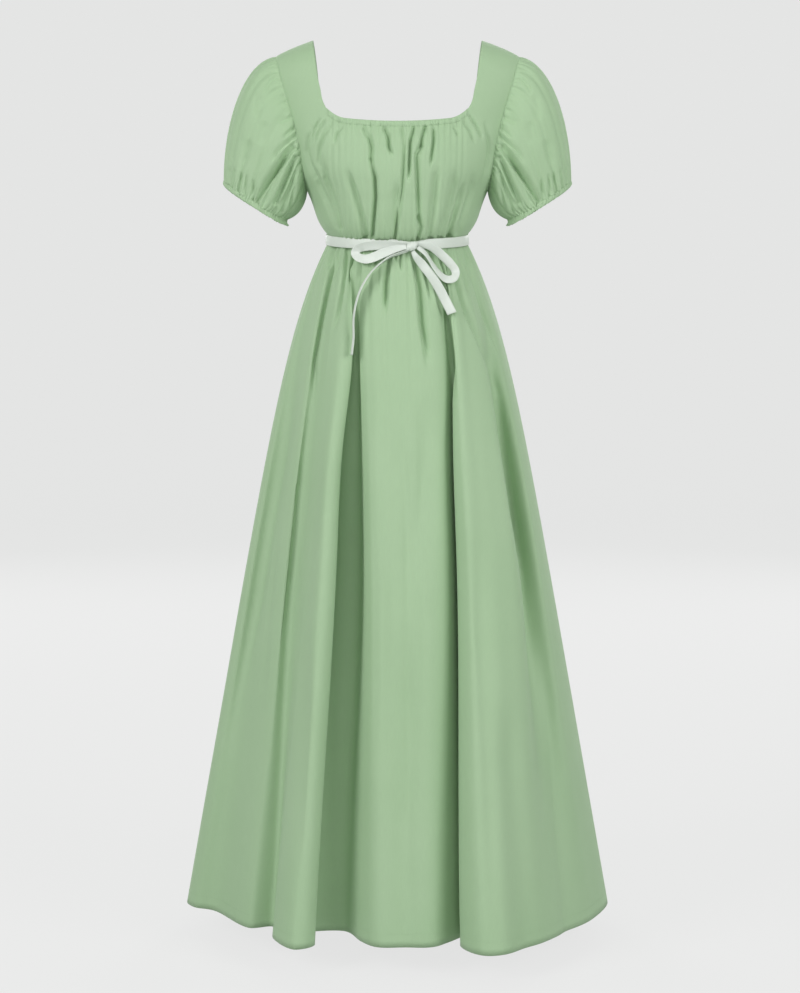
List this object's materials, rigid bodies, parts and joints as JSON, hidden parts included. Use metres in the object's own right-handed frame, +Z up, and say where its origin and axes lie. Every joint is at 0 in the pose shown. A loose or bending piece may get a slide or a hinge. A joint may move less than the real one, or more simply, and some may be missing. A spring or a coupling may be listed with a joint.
{
  "type": "maxi dress",
  "caption": "Empire-line maxi dress with a square gathered neckline, short puff sleeves, a full skirt and a ribbon sash tied in a bow.",
  "frame": {"origin": "midway between the undersides of the two shoulder straps, where the wearer carries the dress", "axes": "+Z up to the neck; the front faces -Y; +X is on the right of a viewer who looks at the front"},
  "size_m": [0.688, 0.5593, 1.3893],
  "materials": {
    "cloth": "matt, fine crepe weave",
    "ribbon": "satin"
  },
  "bodies": {
    "root": {"bodice_front": "cloth", "bodice_back": "cloth", "neck_casing_front": "cloth", "neck_casing_back": "cloth", "sleeve_left": "cloth", "sleeve_right": "cloth", "cuff_left": "cloth", "cuff_right": "cloth", "skirt_front": "cloth", "skirt_back": "cloth", "sash_band": "ribbon", "bow_knot": "ribbon", "bow_loop_left": "ribbon", "bow_loop_right": "ribbon", "sash_tail_left": "ribbon", "sash_tail_right": "ribbon"}
  },
  "joints": []
}
